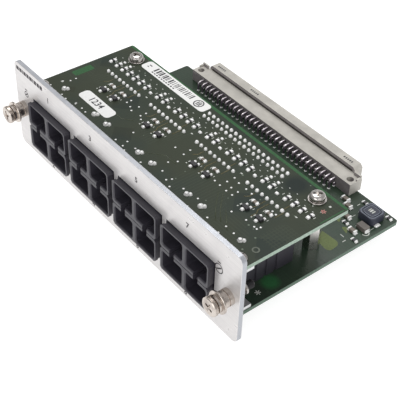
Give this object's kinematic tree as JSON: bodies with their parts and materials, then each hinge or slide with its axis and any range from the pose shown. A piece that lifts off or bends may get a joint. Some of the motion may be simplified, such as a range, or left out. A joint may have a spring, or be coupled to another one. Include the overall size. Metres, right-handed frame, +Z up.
{
  "type": "optical switch line card",
  "caption": "Plug-in card with a flat front panel, stacked circuit boards, paired fibre ports, captive thumb screws and a rear edge connector.",
  "frame": {"origin": "centre of the front panel on its rear face", "axes": "+X along the panel towards its right end seen from the front, +Y back into the chassis, +Z up"},
  "size_m": [0.1344, 0.0936, 0.0382],
  "materials": {
    "panel_metal": "fine brushed, clear anodised",
    "board_laminate": "dark green solder mask over glass fibre laminate",
    "module_plastic": "black moulded, satin",
    "insert_plastic": "dark grey moulded",
    "tinned_metal": "tin plated",
    "gold_metal": "thin gold plate",
    "black_plastic": "black moulded",
    "nickel_metal": "nickel plated",
    "bright_zinc": "bright zinc plated",
    "bracket_metal": "bright zinc plated sheet",
    "connector_plastic": "beige grey moulded",
    "chip_plastic": "moulded epoxy",
    "ferrite": "sintered ferrite",
    "copper_wire": "enamelled copper",
    "tantalum_plastic": "moulded ochre",
    "ceramic": "tan ceramic",
    "resistor_ceramic": "dark glaze on ceramic",
    "label_paper": "white film label"
  },
  "bodies": {
    "card": {"backplane_contacts_lower": "tinned_metal", "backplane_contacts_upper": "tinned_metal", "backplane_housing": "connector_plastic", "bracket_nuts": "bright_zinc", "bracket_screws": "bright_zinc", "bracket_studs": "bright_zinc", "bus_driver_chips": "chip_plastic", "ceramic_capacitors": "ceramic", "chip_resistors": "resistor_ceramic", "front_panel": "panel_metal", "header_base": "black_plastic", "header_pins": "gold_metal", "inductor_core": "ferrite", "inductor_shield": "ferrite", "inductor_winding": "copper_wire", "line_chips": "chip_plastic", "long_label": "label_paper", "lower_board": "board_laminate", "lower_module_1": "module_plastic", "lower_module_1_port_inserts": "insert_plastic", "lower_module_2": "module_plastic", "lower_module_2_port_inserts": "insert_plastic", "lower_module_3": "module_plastic", "lower_module_3_port_inserts": "insert_plastic", "lower_module_4": "module_plastic", "lower_module_4_port_inserts": "insert_plastic", "lower_module_pins": "tinned_metal", "panel_bracket_left": "bracket_metal", "panel_bracket_right": "bracket_metal", "rear_standoff_left": "nickel_metal", "rear_standoff_right": "nickel_metal", "screw_ferrule_left": "nickel_metal", "screw_ferrule_right": "nickel_metal", "short_label": "label_paper", "socket_body": "black_plastic", "socket_leads": "tinned_metal", "standoff_screws_lower": "bright_zinc", "standoff_screws_upper": "bright_zinc", "standoff_washers": "bright_zinc", "tantalum_capacitors": "tantalum_plastic", "upper_board": "board_laminate", "upper_chip_resistors": "resistor_ceramic", "upper_filter_capacitors": "ceramic", "upper_module_1": "module_plastic", "upper_module_1_port_inserts": "insert_plastic", "upper_module_2": "module_plastic", "upper_module_2_port_inserts": "insert_plastic", "upper_module_3": "module_plastic", "upper_module_3_port_inserts": "insert_plastic", "upper_module_4": "module_plastic", "upper_module_4_port_inserts": "insert_plastic", "upper_module_pins": "tinned_metal", "upper_transistors": "chip_plastic"},
    "ring_left": {"retaining_ring_left": "bright_zinc"},
    "screw_left": {"captive_screw_left": "nickel_metal"},
    "ring_right": {"retaining_ring_right": "bright_zinc"},
    "screw_right": {"captive_screw_right": "nickel_metal"}
  },
  "joints": [
    {"name": "screw_left_travel", "type": "slide", "parent": "card", "child": "ring_left", "axis": [0, -1, 0], "range_m": [-0.0003, 0.0034]},
    {"name": "screw_left_turn", "type": "hinge", "parent": "ring_left", "child": "screw_left", "pos_m": [-0.062, 0, -0.0006], "axis": [0, -1, 0], "continuous": true},
    {"name": "screw_right_travel", "type": "slide", "parent": "card", "child": "ring_right", "axis": [0, -1, 0], "range_m": [-0.0003, 0.0034]},
    {"name": "screw_right_turn", "type": "hinge", "parent": "ring_right", "child": "screw_right", "pos_m": [0.062, 0, -0.0006], "axis": [0, -1, 0], "continuous": true}
  ]
}
